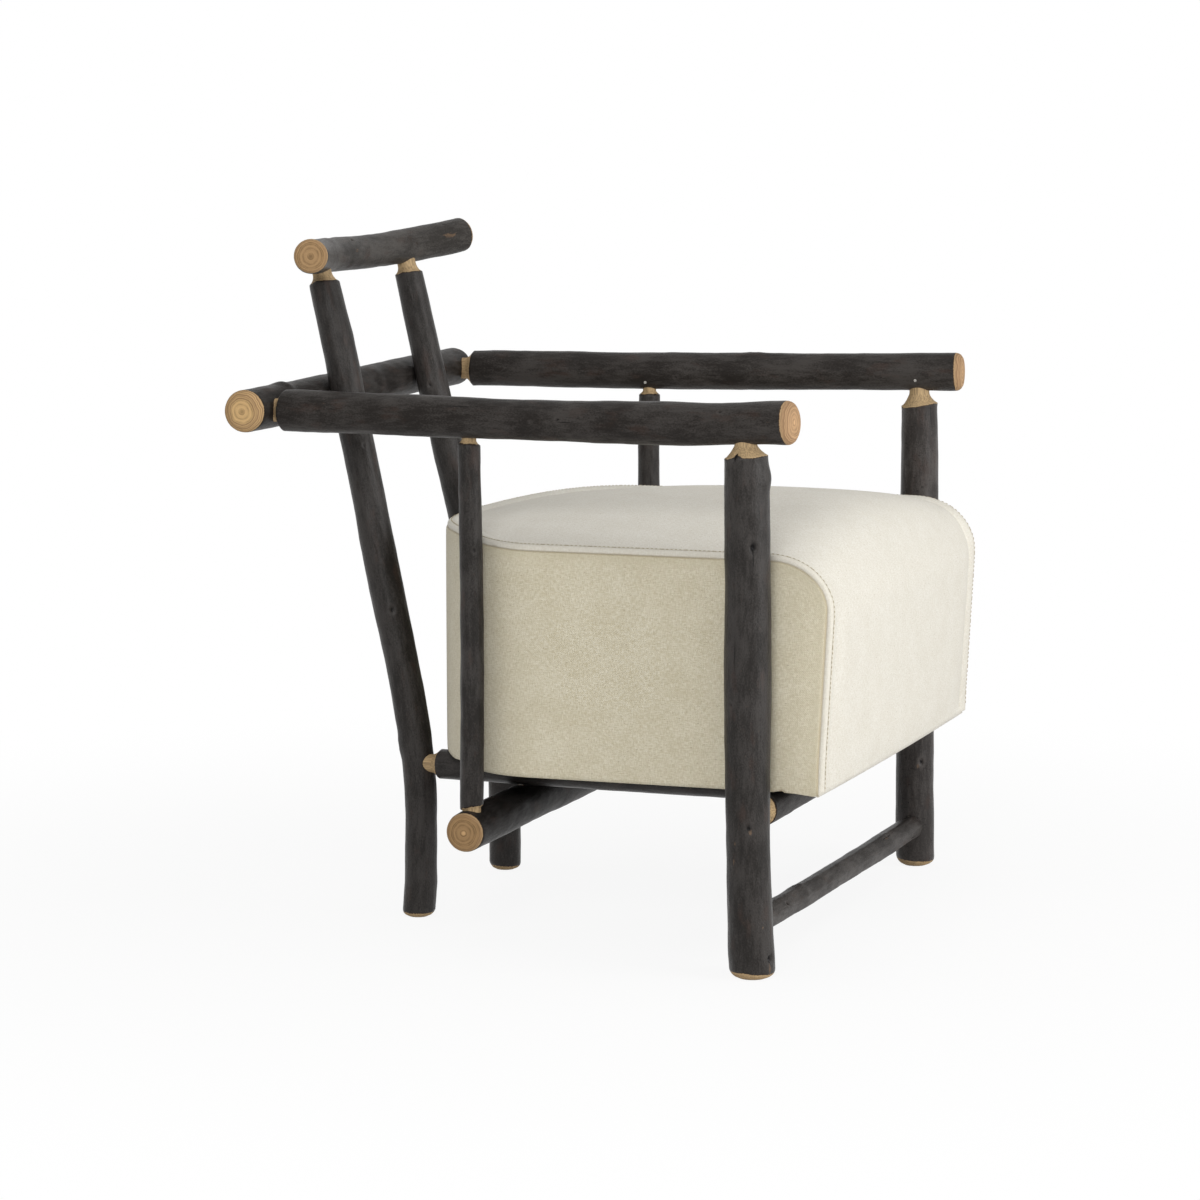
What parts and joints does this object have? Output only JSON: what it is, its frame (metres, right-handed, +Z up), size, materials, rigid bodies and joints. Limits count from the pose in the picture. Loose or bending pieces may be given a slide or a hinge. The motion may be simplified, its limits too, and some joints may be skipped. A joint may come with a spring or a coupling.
{
  "type": "twig armchair",
  "caption": "Low armchair of round dark-bark logs with whittled tenons, a bowed crest rail and one deep D-shaped upholstered seat.",
  "frame": {"origin": "on the floor, at the middle of the chair's footprint (centre of the bounding box's underside)", "axes": "+Z up; the chair faces -Y; +X is the sitter's left"},
  "size_m": [0.7391, 0.7017, 0.7859],
  "materials": {
    "bark": "dark bark left on the log, satin, with pale whittled tenons and tan end grain",
    "top_linen": "undyed linen, plain weave",
    "side_linen": "undyed linen, plain weave",
    "foam": "open-cell polyurethane foam, sealed inside",
    "plywood": "birch plywood, bare",
    "dust_cloth": "thin black non-woven cloth",
    "staple_wire": "galvanised wire",
    "brad_wire": "bright wire",
    "zinc_screws": "zinc plated, dulled"
  },
  "bodies": {
    "root": {"arm_brads": "brad_wire", "arm_left": "bark", "arm_right": "bark", "arm_spindle_left": "bark", "arm_spindle_right": "bark", "back_rail": "bark", "back_rail_screws": "zinc_screws", "cover_staples": "staple_wire", "crest_rail": "bark", "cross_beam_screws": "zinc_screws", "dust_cover": "dust_cloth", "front_leg_left": "bark", "front_leg_right": "bark", "front_seat_rail": "bark", "front_stretcher": "bark", "rear_post_left": "bark", "rear_post_right": "bark", "seat_board": "plywood", "seat_board_screws": "zinc_screws", "seat_cross_beam": "bark", "seat_foam": "foam", "seat_side_cover": "side_linen", "seat_top_cover": "top_linen", "side_rail_left": "bark", "side_rail_right": "bark"}
  },
  "joints": []
}
